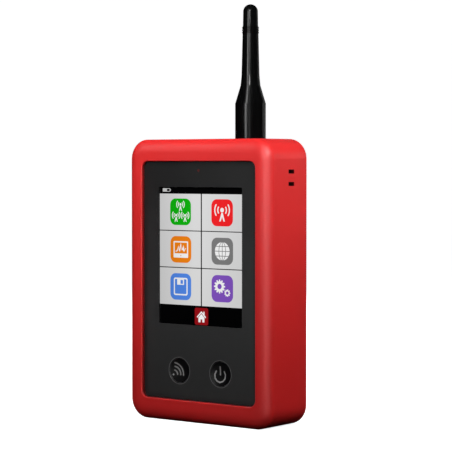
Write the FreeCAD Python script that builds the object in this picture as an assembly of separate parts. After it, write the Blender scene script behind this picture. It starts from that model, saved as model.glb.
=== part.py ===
"""Hand-held spectrum analyzer: a plastic case in a protective boot, with a screw-on whip antenna.

Millimetres. X runs to the right as the user sees the screen, Y runs away from the user, Z is up.
The origin is the middle of the boot's underside. Every function below makes one sub-part, and
main() writes each to parts/NODE.step.
"""
import FreeCAD, Part

import math
import os

from FreeCAD import Vector

# ---- Driving dimensions -------------------------------------------------------------------
# Protective boot, moulded in one piece, open at the front and the back.
BOOT_W, BOOT_D, BOOT_H = 89.4, 34.0, 142.0
BOOT_CORNER_R = 10.0
BOOT_EDGE_IN, BOOT_EDGE_DEEP = 7.0, 3.6   # half axes of the boot's elliptical outer edges
BOOT_SIDE_WALL, BOOT_END_WALL = 4.3, 3.4
LIP = 2.2                      # how far the boot's lips stand in front of the case
WINDOW_W, WINDOW_H, WINDOW_R = 71.4, 119.7, 3.5
LIP_ROUND = 0.6

# Case, two shells that meet on a tongue and groove.
FIT = 0.1                      # gap between the case and the boot, and between nested pieces
CASE_WALL = 2.2
CASE_EDGE_R = 0.8
PARTING_Y = -4.5
TONGUE = 1.0
TONGUE_H = 1.2

# Front overlay, screen and buttons.
OVERLAY_T = 0.7
OVERLAY_MARGIN = 0.8           # how far the overlay runs under the boot's lip
SCREEN_W, SCREEN_H, SCREEN_Z = 52.6, 69.0, 83.55
GLASS_W, GLASS_H, GLASS_T = 57.0, 74.0, 1.1
LCD_W, LCD_H, LCD_T = 58.0, 77.0, 3.2
BUTTON_X, BUTTON_Z = 13.0, 25.7
BUTTON_R, BUTTON_HOLE_R, BUTTON_BEVEL = 5.95, 6.15, 0.4
BUTTON_SINK = 0.3              # the button's rim lies this far below the overlay
BUTTON_RIM, BUTTON_DISH = 0.25, 0.9   # width of the flat rim, depth of the dished face
BUTTON_TRAVEL = 0.5
FLANGE_R, FLANGE_T = 7.2, 0.8
LED_X, LED_Z, LED_HOLE_R = -0.8, 126.4, 0.75
LED_BODY_T = 1.4
SWITCH_SIZE, SWITCH_T = 6.2, 3.5
PLUNGER_R, PLUNGER_OUT, PLUNGER_IN = 1.75, 1.5, 1.2
FLEX_T, FLEX_W = 0.2, 18.0

# Circuit board and what stands on it.
PCB_FRONT_Y, PCB_T = -6.4, 1.6
PCB_W, PCB_Z0, PCB_Z1 = 73.6, 8.0, 133.0
CASE_SCREW_X, CASE_SCREW_Z = 30.0, (16.5, 126.2)
SCREW_SEAT_Y, SCREW_WELL_R = 1.0, 2.8   # where the case screws' heads sit in the rear shell
PCB_SCREW_X, PCB_SCREW_Z = 33.3, (38.0, 112.0)
USB_Z = 64.0
USB_W, USB_T, USB_L = 7.7, 3.9, 9.2
# Chips on the board's back: (x, z, width, height, thickness).
CHIPS = [(-2.0, 66.0, 14.0, 14.0, 1.4), (-16.0, 48.0, 10.0, 8.0, 1.1), (14.0, 50.0, 7.0, 7.0, 0.9),
         (-24.0, 78.0, 5.0, 6.2, 1.7), (20.0, 72.0, 6.0, 5.0, 1.2), (14.0, 34.0, 8.0, 5.0, 1.0)]
MODULE_X, MODULE_Z, MODULE_SIZE, MODULE_T = -2.0, 114.0, 28.0, 2.6
SOUNDER_X, SOUNDER_Z, SOUNDER_R, SOUNDER_T = -25.0, 112.0, 6.0, 4.4
COAX_X, COAX_Z, COAX_R, COAX_BEND = 25.0, 113.0, 0.68, 2.6

# Strap eyelets in the right side.
STRAP_Y, STRAP_Z, STRAP_PITCH = 1.0, 122.85, 6.1
STRAP_SLOT_L, STRAP_SLOT_H = 4.7, 1.9

# Battery bay and its door in the rear shell.
DOOR_W, DOOR_Z0, DOOR_Z1, DOOR_R = 52.0, 22.0, 96.0, 2.2
DOOR_T, DOOR_GAP, DOOR_LEDGE = 2.1, 0.25, 0.8
DOOR_ROUND = 0.3                        # the cover turns about the centre of its rounded lower edge
DOOR_TAB_X, DOOR_TAB_W = 15.0, 9.0
GRIP_Z, GRIP_W, GRIP_PITCH, GRIP_COUNT = 84.0, 18.0, 1.8, 5
BAY_FLOOR_Y, BAY_WALL = 1.7, 1.5
PACK_W, PACK_Z0, PACK_Z1, PACK_Y0, PACK_Y1 = 46.0, 28.0, 92.0, 2.0, 11.4
LEADS = {"battery_lead_red": 17.5, "battery_lead_black": 19.5}   # name and x of each lead
LEAD_R, LEAD_BEND = 0.6, 1.9
SOCKET_X, SOCKET_Z = 18.5, 103.0
LABEL_W, LABEL_H, LABEL_R, LABEL_T, LABEL_Z = 40.0, 16.0, 1.5, 0.3, 109.0

# Antenna and its screw connector.
ANTENNA_X, ANTENNA_Y = 20.5, 0.0
THREAD_R, JACK_TOP = 3.175, 148.3
JACK_TAIL_Z, JACK_FLANGE_R, CONTACT_R = 128.6, 4.4, 0.5
WASHER_T, PANEL_NUT_T = 0.6, 2.2
COUPLING_Z0, COUPLING_Z1 = 142.1, 149.4
ROD_R = 1.1                    # radiator inside the antenna
COLLAR_R, SHAFT_R, NECK_R = 7.6, 4.45, 3.95
COLLAR_Z0, COLLAR_Z1, FLARE_Z, SHAFT_Z, NECK_Z = 139.7, 159.5, 168.4, 173.6, 194.2
RING_R, RING_PITCH, RING_COUNT = 4.23, 1.15, 3
TIP_R0, TIP_R1, TIP_Z = 3.77, 3.65, 208.6

# ---- Dimensions that follow ---------------------------------------------------------------
FRONT_Y, REAR_Y = -BOOT_D / 2, BOOT_D / 2
FACE_Y, BACK_Y = FRONT_Y + LIP, REAR_Y - LIP
MID_Z = BOOT_H / 2
CAVITY_W, CAVITY_H = BOOT_W - 2 * BOOT_SIDE_WALL, BOOT_H - 2 * BOOT_END_WALL
CAVITY_R = BOOT_CORNER_R - BOOT_END_WALL
CASE_W, CASE_H = CAVITY_W - 2 * FIT, CAVITY_H - 2 * FIT
CASE_R = CAVITY_R - FIT
CASE_TOP = MID_Z + CASE_H / 2
INNER_W, INNER_H = CASE_W - 2 * CASE_WALL, CASE_H - 2 * CASE_WALL
INNER_R = CASE_R - CASE_WALL
INNER_TOP = MID_Z + INNER_H / 2
FRONT_WALL_Y, REAR_WALL_Y = FACE_Y + CASE_WALL, BACK_Y - CASE_WALL
GLASS_Y = FACE_Y + OVERLAY_T
LCD_Y = FRONT_WALL_Y
PCB_BACK_Y = PCB_FRONT_Y + PCB_T
USB_Y = PCB_BACK_Y + USB_T / 2
FLANGE_Y = FRONT_WALL_Y + FIT
CASE_SCREWS = [(x, z) for x in (-CASE_SCREW_X, CASE_SCREW_X) for z in CASE_SCREW_Z]
PCB_SCREWS = [(x, z) for x in (-PCB_SCREW_X, PCB_SCREW_X) for z in PCB_SCREW_Z]
SWITCHES = {"wireless": -BUTTON_X, "power": BUTTON_X}


# ---- Shape helpers ------------------------------------------------------------------------
def box(x0, x1, y0, y1, z0, z1):
    return Part.makeBox(x1 - x0, y1 - y0, z1 - z0, Vector(x0, y0, z0))


def block(x, z, width, height, y0, y1):
    """A box centred on (x, z), from y0 to y1."""
    return box(x - width / 2, x + width / 2, y0, y1, z - height / 2, z + height / 2)


def rod_y(x, z, r, y0, y1):
    return Part.makeCylinder(r, y1 - y0, Vector(x, y0, z), Vector(0, 1, 0))


def cone_y(x, z, r0, r1, y0, y1):
    return Part.makeCone(r0, r1, y1 - y0, Vector(x, y0, z), Vector(0, 1, 0))


def rod_z(r, z0, z1):
    """A cylinder on the antenna's axis."""
    return Part.makeCylinder(r, z1 - z0, Vector(ANTENNA_X, ANTENNA_Y, z0), Vector(0, 0, 1))


def tube_z(r_in, r_out, z0, z1):
    return rod_z(r_out, z0, z1).cut(rod_z(r_in, z0, z1))


def hex_z(circumradius, z0, z1):
    """A hexagonal prism on the antenna's axis."""
    corners = [Vector(ANTENNA_X + circumradius * math.cos(math.radians(60 * i)),
                      ANTENNA_Y + circumradius * math.sin(math.radians(60 * i)), z0)
               for i in range(7)]
    return Part.Face(Part.makePolygon(corners)).extrude(Vector(0, 0, z1 - z0))


def slab(width, height, r, y0, y1, x=0.0, z=MID_Z):
    """A rounded rectangle in the XZ plane, extruded from y0 to y1."""
    a, b = width / 2, height / 2
    edges = []
    for i, (sx, sz) in enumerate([(1, -1), (1, 1), (-1, 1), (-1, -1)]):
        start = math.radians(-90 + 90 * i)
        centre = Vector(x + sx * (a - r), y0, z + sz * (b - r))
        arc = [centre + Vector(r * math.cos(start + t), 0, r * math.sin(start + t))
               for t in (0, math.pi / 4, math.pi / 2)]
        if edges:
            edges.append(Part.makeLine(edges[-1].Vertexes[-1].Point, arc[0]))
        edges.append(Part.Arc(*arc).toShape())
    edges.append(Part.makeLine(edges[-1].Vertexes[-1].Point, edges[0].Vertexes[0].Point))
    return Part.Face(Part.Wire(edges)).extrude(Vector(0, y1 - y0, 0))


def ring_slab(width, height, r, thickness, y0, y1, z=MID_Z):
    """A rounded rectangular frame of that wall thickness."""
    inner = slab(width - 2 * thickness, height - 2 * thickness, r - thickness, y0 - 1, y1 + 1, z=z)
    return slab(width, height, r, y0, y1, z=z).cut(inner)


def edges_on(shape, y, half_width=1e9):
    """The edges that lie wholly in the plane y, no further from the middle than half_width."""
    found = []
    for edge in shape.Edges:
        b = edge.BoundBox
        flat = abs(b.YMin - y) < 1e-4 and abs(b.YMax - y) < 1e-4
        if flat and max(abs(b.XMin), abs(b.XMax)) < half_width:
            found.append(edge)
    return found


def fuse(shapes):
    first, *rest = shapes
    return first.multiFuse(rest).removeSplitter() if rest else first


def revolve(outline):
    """Revolves a closed outline of (radius, z) corners about the antenna's axis. A third item in a
    corner is the (radius, z) point that an arc passes through on its way there."""
    def at(point):
        return Vector(ANTENNA_X + point[0], ANTENNA_Y, point[1])
    edges = []
    for before, corner in zip(outline, outline[1:] + outline[:1]):
        if len(corner) > 2:
            edges.append(Part.Arc(at(before), at(corner[2]), at(corner)).toShape())
        else:
            edges.append(Part.makeLine(at(before), at(corner)))
    face = Part.Face(Part.Wire(edges))
    return face.revolve(Vector(ANTENNA_X, ANTENNA_Y, 0), Vector(0, 0, 1), 360)


def wire_along(points, r, bend):
    """A round wire along straight runs that are joined by arcs of radius bend."""
    points = [Vector(*p) for p in points]
    edges, last = [], points[0]
    for before, corner, after in zip(points, points[1:], points[2:]):
        into, out = (corner - before).normalize(), (after - corner).normalize()
        turn = into.getAngle(out)
        back = bend * math.tan(turn / 2)
        start, end = corner - into * back, corner + out * back
        middle = corner + (out - into).normalize() * bend * (1 / math.cos(turn / 2) - 1)
        edges += [Part.makeLine(last, start), Part.Arc(start, middle, end).toShape()]
        last = end
    edges.append(Part.makeLine(last, points[-1]))
    path = Part.Wire(edges)
    section = Part.Wire(Part.makeCircle(r, points[0], points[1] - points[0]))
    return path.makePipeShell([section], True, False)


# ---- Boot ---------------------------------------------------------------------------------
def strap_slots(x0, x1):
    """The two slots that a wrist strap's cord is looped through."""
    return [box(x0, x1, STRAP_Y - STRAP_SLOT_L / 2, STRAP_Y + STRAP_SLOT_L / 2,
                STRAP_Z + s * STRAP_PITCH / 2 - STRAP_SLOT_H / 2,
                STRAP_Z + s * STRAP_PITCH / 2 + STRAP_SLOT_H / 2) for s in (-1, 1)]


def usb_opening(x0, x1, margin, r):
    """The cut-out in a side wall for the data and charging socket, margin larger all round."""
    wide, high = USB_T + 2 * margin, USB_W + 2 * margin
    hole = box(x0, x1, USB_Y - wide / 2, USB_Y + wide / 2, USB_Z - high / 2, USB_Z + high / 2)
    along_x = [e for e in hole.Edges if e.BoundBox.XLength > 1e-3]
    return hole.makeFillet(r, along_x)


def boot_outside():
    """The boot as a block. Its edges are rounded on a block that is too deep, which is then squashed
    to depth, so that they end up elliptical. The plain block gives back true planes for the flats."""
    stretch = BOOT_EDGE_IN / BOOT_EDGE_DEEP
    front, rear = FRONT_Y * stretch, REAR_Y * stretch
    deep = slab(BOOT_W, BOOT_H, BOOT_CORNER_R, front, rear)
    deep = deep.makeFillet(BOOT_EDGE_IN, edges_on(deep, front) + edges_on(deep, rear))
    squash = FreeCAD.Matrix()
    squash.scale(1, 1 / stretch, 1)
    plain = slab(BOOT_W, BOOT_H, BOOT_CORNER_R, FRONT_Y, REAR_Y)
    return plain.common(deep.transformGeometry(squash))


def protective_boot():
    cuts = [
        slab(CAVITY_W, CAVITY_H, CAVITY_R, FACE_Y, BACK_Y),
        slab(WINDOW_W, WINDOW_H, WINDOW_R, FRONT_Y - 1, REAR_Y + 1),
        rod_z(COLLAR_R + 0.35, MID_Z, BOOT_H + 1),
        usb_opening(-BOOT_W / 2 - 1, -CAVITY_W / 2 + 1, 2.2, 2.2),
        *strap_slots(CAVITY_W / 2 - 1, BOOT_W / 2 + 1),
    ]
    boot = boot_outside().cut(cuts)
    lips = edges_on(boot, FRONT_Y, WINDOW_W / 2 + 0.1) + edges_on(boot, REAR_Y, WINDOW_W / 2 + 0.1)
    return boot.makeFillet(LIP_ROUND, lips)


# ---- Case shells --------------------------------------------------------------------------
def shell_bosses(places, r, y0, y1):
    return [rod_y(x, z, r, y0, y1) for x, z in places]


def front_shell():
    body = slab(CASE_W, CASE_H, CASE_R, FACE_Y, PARTING_Y)
    body = body.makeFillet(CASE_EDGE_R, edges_on(body, FACE_Y))
    body = body.cut(slab(INNER_W, INNER_H, INNER_R, FRONT_WALL_Y, PARTING_Y + 1))
    bosses = shell_bosses(CASE_SCREWS, 3.3, FRONT_WALL_Y - 0.5, PARTING_Y)
    bosses += shell_bosses(PCB_SCREWS, 2.5, FRONT_WALL_Y - 0.5, PCB_FRONT_Y)
    body = fuse([body] + bosses)
    groove = TONGUE + FIT
    overlay_w, overlay_h = WINDOW_W + 2 * OVERLAY_MARGIN, WINDOW_H + 2 * OVERLAY_MARGIN
    cuts = [
        slab(INNER_W + 2 * groove, INNER_H + 2 * groove, INNER_R + groove,
             PARTING_Y - TONGUE_H - FIT, PARTING_Y + 1),
        slab(overlay_w + 2 * FIT, overlay_h + 2 * FIT, WINDOW_R + OVERLAY_MARGIN,
             FACE_Y - 1, GLASS_Y),
        slab(GLASS_W + 2 * FIT, GLASS_H + 2 * FIT, 1.0, GLASS_Y - 1, FRONT_WALL_Y + 1, z=SCREEN_Z),
        rod_y(LED_X, LED_Z, 1.0, FACE_Y, FRONT_WALL_Y + 1),
        usb_opening(-CASE_W / 2 - 1, -INNER_W / 2 + 1, 0.3, 0.6),
    ]
    cuts += [rod_y(x, BUTTON_Z, BUTTON_R + 0.3, FACE_Y, FRONT_WALL_Y + 1) for x in SWITCHES.values()]
    cuts += shell_bosses(CASE_SCREWS, 1.28, PARTING_Y - 6.5, PARTING_Y + 1)
    cuts += shell_bosses(PCB_SCREWS, 1.03, PCB_FRONT_Y - 4.6, PCB_FRONT_Y + 1)
    return body.cut(cuts)


def strap_pocket():
    """The closed pocket behind the strap slots, so that the cord stays out of the electronics."""
    depth, wall = 3.5, 1.1
    high = STRAP_PITCH + STRAP_SLOT_H
    x0 = INNER_W / 2 - depth
    half = STRAP_SLOT_L / 2
    outside = box(x0 - wall, INNER_W / 2 + 0.5, STRAP_Y - half - wall, STRAP_Y + half + wall,
                  STRAP_Z - high / 2 - wall, STRAP_Z + high / 2 + wall)
    inside = box(x0, INNER_W / 2, STRAP_Y - half, STRAP_Y + half,
                 STRAP_Z - high / 2, STRAP_Z + high / 2)
    return outside, inside


def rear_shell():
    body = slab(CASE_W, CASE_H, CASE_R, PARTING_Y, BACK_Y)
    body = body.makeFillet(CASE_EDGE_R, edges_on(body, BACK_Y))
    body = body.cut(slab(INNER_W, INNER_H, INNER_R, PARTING_Y - 1, REAR_WALL_Y))
    bay_w, bay_z1 = DOOR_W - 2 * DOOR_LEDGE, DOOR_Z1 - DOOR_LEDGE
    bay_z0 = DOOR_Z0 - 3.3
    pocket_out, pocket_in = strap_pocket()
    tongue = ring_slab(INNER_W + 2 * TONGUE, INNER_H + 2 * TONGUE, INNER_R + TONGUE, TONGUE,
                       PARTING_Y - TONGUE_H, PARTING_Y + 0.5)
    body = fuse([
        body, tongue, pocket_out,
        box(-bay_w / 2 - BAY_WALL, bay_w / 2 + BAY_WALL, BAY_FLOOR_Y - BAY_WALL, REAR_WALL_Y + 0.5,
            bay_z0 - BAY_WALL, bay_z1 + BAY_WALL),
        *shell_bosses(CASE_SCREWS, 3.9, PARTING_Y, REAR_WALL_Y + 0.5),
    ])
    lead_notch = box(16.0, 21.0, BAY_FLOOR_Y, BAY_FLOOR_Y + 4.5, bay_z1 - 1, bay_z1 + BAY_WALL + 1)
    cuts = [
        pocket_in, lead_notch,
        box(-bay_w / 2, bay_w / 2, BAY_FLOOR_Y, REAR_WALL_Y, bay_z0, bay_z1),
        slab(DOOR_W, DOOR_Z1 - DOOR_Z0, DOOR_R, REAR_WALL_Y - 0.5, BACK_Y + 1,
             z=(DOOR_Z0 + DOOR_Z1) / 2),
        slab(LABEL_W, LABEL_H, LABEL_R, BACK_Y - LABEL_T, BACK_Y + 1, z=LABEL_Z),
        rod_z(THREAD_R + 0.1, INNER_TOP - 1, CASE_TOP + 1),
        usb_opening(-CASE_W / 2 - 1, -INNER_W / 2 + 1, 0.3, 0.6),
        *strap_slots(INNER_W / 2 - 1, CASE_W / 2 + 1),
    ]
    cuts += shell_bosses(CASE_SCREWS, 1.4, PARTING_Y - 1, SCREW_SEAT_Y + 1)
    cuts += shell_bosses(CASE_SCREWS, SCREW_WELL_R, SCREW_SEAT_Y, BACK_Y + 1)
    return body.cut(cuts)


def rating_label():
    """A blank label in its shallow recess above the battery door."""
    return slab(LABEL_W - 4 * FIT, LABEL_H - 4 * FIT, LABEL_R - FIT, BACK_Y - LABEL_T, BACK_Y - 0.05,
                z=LABEL_Z)


# ---- Battery door and battery -------------------------------------------------------------
def battery_door():
    mid = (DOOR_Z0 + DOOR_Z1) / 2
    y0 = BACK_Y - DOOR_T
    panel = slab(DOOR_W - 2 * DOOR_GAP, DOOR_Z1 - DOOR_Z0 - 2 * DOOR_GAP, DOOR_R - DOOR_GAP,
                 y0, BACK_Y, z=mid)
    panel = panel.makeFillet(DOOR_ROUND, edges_on(panel, BACK_Y))
    tab_top = REAR_WALL_Y - FIT
    tabs = []
    for x in (-DOOR_TAB_X, DOOR_TAB_X):
        tabs.append(block(x, DOOR_Z0 + 0.8, DOOR_TAB_W, 6.4, tab_top - 1.2, tab_top))
        tabs.append(block(x, DOOR_Z0 + 2.2, DOOR_TAB_W, 3.6, tab_top - 0.2, y0 + 0.2))
    ribs = [block(x, mid + 4, 1.2, 50.0, y0 - 0.6, y0 + 0.2) for x in (-20.0, 20.0)]
    door = fuse([panel] + tabs + ribs)
    grooves = [block(0, GRIP_Z + i * GRIP_PITCH, GRIP_W, 0.9, BACK_Y - 0.5, BACK_Y + 1)
               for i in range(GRIP_COUNT)]
    arrow = Part.Face(Part.makePolygon([Vector(0, BACK_Y - 0.4, GRIP_Z - 2.2),
                                        Vector(-3, BACK_Y - 0.4, GRIP_Z - 6.0),
                                        Vector(3, BACK_Y - 0.4, GRIP_Z - 6.0),
                                        Vector(0, BACK_Y - 0.4, GRIP_Z - 2.2)]))
    return door.cut(grooves + [arrow.extrude(Vector(0, 1, 0))])


def battery_pack():
    pack = slab(PACK_W, PACK_Z1 - PACK_Z0, 3.0, PACK_Y0, PACK_Y1, z=(PACK_Z0 + PACK_Z1) / 2)
    return pack.makeFillet(1.5, edges_on(pack, PACK_Y0) + edges_on(pack, PACK_Y1))


def battery_lead(x):
    """From the pack's top edge, through the notch in the bay, to the socket on the board."""
    top_y = BAY_FLOOR_Y + 2.4
    return wire_along([(x, top_y, PACK_Z1), (x, top_y, SOCKET_Z - 3.6),
                       (x, PCB_BACK_Y + 2.2, SOCKET_Z - 3.6), (x, PCB_BACK_Y + 2.2, SOCKET_Z + 1.2)],
                      LEAD_R, LEAD_BEND)


def battery_socket():
    body = block(SOCKET_X, SOCKET_Z + 3.4, 7.6, 6.0, PCB_BACK_Y, PCB_BACK_Y + 4.2)
    return body.cut([wire_hole(x) for x in LEADS.values()])


def wire_hole(x):
    hole = Part.makeCylinder(LEAD_R + 0.05, 3, Vector(x, PCB_BACK_Y + 2.2, SOCKET_Z - 1))
    return hole


# ---- Front overlay, glass and display -----------------------------------------------------
def front_overlay():
    overlay = slab(WINDOW_W + 2 * OVERLAY_MARGIN, WINDOW_H + 2 * OVERLAY_MARGIN,
                   WINDOW_R + OVERLAY_MARGIN - FIT, FACE_Y, GLASS_Y)
    cuts = [slab(SCREEN_W, SCREEN_H, 0.5, FACE_Y - 1, GLASS_Y + 1, z=SCREEN_Z),
            rod_y(LED_X, LED_Z, LED_HOLE_R, FACE_Y - 1, GLASS_Y + 1)]
    for x in SWITCHES.values():
        cuts.append(rod_y(x, BUTTON_Z, BUTTON_HOLE_R, FACE_Y - 1, GLASS_Y + 1))
        cuts.append(cone_y(x, BUTTON_Z, BUTTON_HOLE_R + BUTTON_BEVEL, BUTTON_HOLE_R,
                           FACE_Y, FACE_Y + BUTTON_BEVEL))
    return overlay.cut(cuts)


def touch_glass():
    return slab(GLASS_W, GLASS_H, 0.9, GLASS_Y, GLASS_Y + GLASS_T, z=SCREEN_Z)


def display_panel():
    """The liquid crystal cell and its backlight stack, inside the metal frame."""
    wall = 0.4 + FIT
    return block(0, SCREEN_Z, LCD_W - 2 * wall, LCD_H - 2 * wall, LCD_Y, LCD_Y + LCD_T - wall)


def display_frame():
    """Folded sheet metal can that holds the display panel from behind."""
    can = block(0, SCREEN_Z, LCD_W, LCD_H, LCD_Y, LCD_Y + LCD_T)
    inside = block(0, SCREEN_Z, LCD_W - 0.8, LCD_H - 0.8, LCD_Y - 1, LCD_Y + LCD_T - 0.4)
    return can.cut(inside)


def display_carrier():
    """Plastic frame that spaces the display from the circuit board."""
    y0, y1 = LCD_Y + LCD_T, PCB_FRONT_Y
    carrier = ring_slab(LCD_W, LCD_H, 3.0, 2.2, y0, y1, z=SCREEN_Z)
    return carrier.cut(block(0, SCREEN_Z - LCD_H / 2, 22.0, 8.0, y0 - 1, y1 + 1))


def display_flex():
    """Ribbon from the display's lower edge, round a half turn, to the connector on the board."""
    bottom = SCREEN_Z - LCD_H / 2 + 4.0
    outer_r = (PCB_FRONT_Y - 0.9 - (LCD_Y + LCD_T)) / 2
    centre_y = LCD_Y + LCD_T + outer_r
    z_turn = bottom - 4.5

    def strip(r):
        straight = block(0, (bottom + z_turn) / 2, FLEX_W, bottom - z_turn,
                         centre_y - r, centre_y + r)
        turn = Part.makeCylinder(r, FLEX_W, Vector(-FLEX_W / 2, centre_y, z_turn), Vector(1, 0, 0))
        return straight.fuse(turn)
    return strip(outer_r).cut(strip(outer_r - FLEX_T)).removeSplitter()


def flex_connector():
    bottom = SCREEN_Z - LCD_H / 2
    return block(0, bottom + 2.2, FLEX_W + 2, 2.6, PCB_FRONT_Y - 0.9, PCB_FRONT_Y)


# ---- Buttons and their switches -----------------------------------------------------------
def button(x):
    """A round cap with a dished face, a flange that stops it, and a pip that meets the switch."""
    rim = FACE_Y + BUTTON_SINK
    pip_end = PCB_FRONT_Y - SWITCH_T - PLUNGER_OUT
    cap = fuse([rod_y(x, BUTTON_Z, BUTTON_R, rim, FLANGE_Y + FLANGE_T),
                rod_y(x, BUTTON_Z, FLANGE_R, FLANGE_Y, FLANGE_Y + FLANGE_T),
                rod_y(x, BUTTON_Z, 1.6, FLANGE_Y, pip_end)])
    dish_rim = BUTTON_R - BUTTON_RIM
    radius = (dish_rim ** 2 + BUTTON_DISH ** 2) / (2 * BUTTON_DISH)
    ball = Part.makeSphere(radius, Vector(x, rim + BUTTON_DISH - radius, BUTTON_Z))
    return cap.cut(ball)


def switch_body(x):
    y0 = PCB_FRONT_Y - SWITCH_T
    body = block(x, BUTTON_Z, SWITCH_SIZE, SWITCH_SIZE, y0, PCB_FRONT_Y)
    legs = [block(x + sx * (SWITCH_SIZE / 2 + 0.6), BUTTON_Z + sz * 2.25, 1.6, 0.7,
                  PCB_FRONT_Y - 0.35, PCB_FRONT_Y) for sx in (-1, 1) for sz in (-1, 1)]
    well = rod_y(x, BUTTON_Z, PLUNGER_R + 0.06, y0 - 1, y0 + PLUNGER_IN + BUTTON_TRAVEL + 0.1)
    return fuse([body] + legs).cut(well)


def switch_plunger(x):
    y0 = PCB_FRONT_Y - SWITCH_T
    return rod_y(x, BUTTON_Z, PLUNGER_R, y0 - PLUNGER_OUT, y0 + PLUNGER_IN)


# ---- Indicator ----------------------------------------------------------------------------
def light_pipe():
    led_front = PCB_FRONT_Y - LED_BODY_T
    return fuse([rod_y(LED_X, LED_Z, LED_HOLE_R - 0.05, FACE_Y + 0.1, led_front - 0.2),
                 rod_y(LED_X, LED_Z, 1.6, FLANGE_Y, led_front - 0.2)])


def status_led():
    return block(LED_X, LED_Z, 2.0, 1.3, PCB_FRONT_Y - LED_BODY_T, PCB_FRONT_Y)


# ---- Circuit board ------------------------------------------------------------------------
def main_board():
    mid = (PCB_Z0 + PCB_Z1) / 2
    board = slab(PCB_W, PCB_Z1 - PCB_Z0, 2.0, PCB_FRONT_Y, PCB_BACK_Y, z=mid)
    holes = shell_bosses(CASE_SCREWS, 3.6, PCB_FRONT_Y - 1, PCB_BACK_Y + 1)
    holes += shell_bosses(PCB_SCREWS, 1.2, PCB_FRONT_Y - 1, PCB_BACK_Y + 1)
    return board.cut(holes)


def board_chips():
    return Part.makeCompound([block(x, z, w, h, PCB_BACK_Y, PCB_BACK_Y + t)
                              for x, z, w, h, t in CHIPS])


def radio_module():
    return block(MODULE_X, MODULE_Z, MODULE_SIZE, MODULE_SIZE, PCB_BACK_Y, PCB_BACK_Y + 0.8)


def radio_shield():
    """Tinned can over the radio module's board, with a row of vent holes."""
    size = MODULE_SIZE - 1.6
    y0, y1 = PCB_BACK_Y + 0.8, PCB_BACK_Y + MODULE_T
    can = block(MODULE_X, MODULE_Z, size, size, y0, y1)
    can = can.cut(block(MODULE_X, MODULE_Z, size - 0.4, size - 0.4, y0 - 1, y1 - 0.2))
    holes = [rod_y(MODULE_X + i * 4.0, MODULE_Z + 9.0, 0.6, y1 - 1, y1 + 1) for i in range(-2, 3)]
    return can.cut(holes)


def coax_plug():
    """Small press-on coaxial plug on the board."""
    y0 = PCB_BACK_Y
    plug = fuse([rod_y(COAX_X, COAX_Z, 1.6, y0, y0 + 1.4),
                 block(COAX_X, COAX_Z + 1.4, 2.2, 2.8, y0 + 0.2, y0 + 1.8)])
    return plug.cut(Part.makeCylinder(COAX_R + 0.03, 3, Vector(COAX_X, y0 + 1.0, COAX_Z + 1.6)))


def coax_pigtail():
    """Thin coaxial lead from the board to the antenna socket's tail, held at both ends."""
    y0 = PCB_BACK_Y + 1.0
    return wire_along([(COAX_X, y0, COAX_Z + 1.8), (COAX_X, y0, 120.0),
                       (ANTENNA_X, ANTENNA_Y, 123.5), (ANTENNA_X, ANTENNA_Y, JACK_TAIL_Z)],
                      COAX_R, 2.6)


def sounder():
    top = PCB_BACK_Y + SOUNDER_T
    body = rod_y(SOUNDER_X, SOUNDER_Z, SOUNDER_R, PCB_BACK_Y, top)
    return body.cut(rod_y(SOUNDER_X, SOUNDER_Z, 1.0, top - 2, top + 1))


def usb_socket():
    """Shielded data and charging socket that ends flush with the case's left side."""
    x0 = -CASE_W / 2 + 0.1
    x1 = x0 + USB_L
    half_t, half_w = USB_T / 2, USB_W / 2
    can = box(x0, x1, USB_Y - half_t, USB_Y + half_t, USB_Z - half_w, USB_Z + half_w)
    can = can.makeFillet(0.5, [e for e in can.Edges if e.BoundBox.XLength > 1])
    wall = 0.35
    can = can.cut(box(x0 - 1, x1 - 1.2, USB_Y - half_t + wall, USB_Y + half_t - wall,
                      USB_Z - half_w + wall, USB_Z + half_w - wall))
    tongue = box(x0 + 1.0, x1 - 1.0, USB_Y - 0.45, USB_Y + 0.45, USB_Z - 2.4, USB_Z + 2.4)
    return fuse([can, tongue])


# ---- Fasteners ----------------------------------------------------------------------------
def pan_screw(x, z, seat_y, head_r, head_t, shank_r, length, drive):
    """A pan head screw whose head faces +Y, with a cross recess."""
    head = rod_y(x, z, head_r, seat_y, seat_y + head_t)
    head = head.makeFillet(head_t * 0.45, edges_near(head, seat_y + head_t))
    screw = fuse([head, rod_y(x, z, shank_r, seat_y - length, seat_y)])
    depth = head_t * 0.6
    cross = [block(x, z, drive, drive * 0.28, seat_y + head_t - depth, seat_y + head_t + 1),
             block(x, z, drive * 0.28, drive, seat_y + head_t - depth, seat_y + head_t + 1)]
    return screw.cut(cross)


def edges_near(shape, y):
    return [e for e in shape.Edges if abs(e.BoundBox.YMin - y) < 1e-4 and e.BoundBox.YLength < 1e-3]


def case_screws():
    return Part.makeCompound([pan_screw(x, z, SCREW_SEAT_Y, 2.4, 1.8, 1.24, 11.5, 2.6)
                              for x, z in CASE_SCREWS])


def board_screws():
    return Part.makeCompound([pan_screw(x, z, PCB_BACK_Y, 1.9, 1.4, 1.0, 5.8, 2.0)
                              for x, z in PCB_SCREWS])


# ---- Antenna socket on the case -----------------------------------------------------------
def antenna_jack():
    """Bulkhead coaxial socket: flange inside the case, thread outside, tail for the pigtail."""
    jack = fuse([rod_z(THREAD_R, INNER_TOP - 1, JACK_TOP),
                 rod_z(JACK_FLANGE_R, INNER_TOP - 2.1, INNER_TOP),
                 rod_z(2.0, JACK_TAIL_Z - 1.8, INNER_TOP - 2)])
    return jack.cut([rod_z(2.1, CASE_TOP - 4, JACK_TOP + 1),
                     rod_z(COAX_R + 0.05, JACK_TAIL_Z - 3, JACK_TAIL_Z)])


def jack_insulator():
    return tube_z(CONTACT_R, 2.05, CASE_TOP - 4, JACK_TOP - 0.1)


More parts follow.
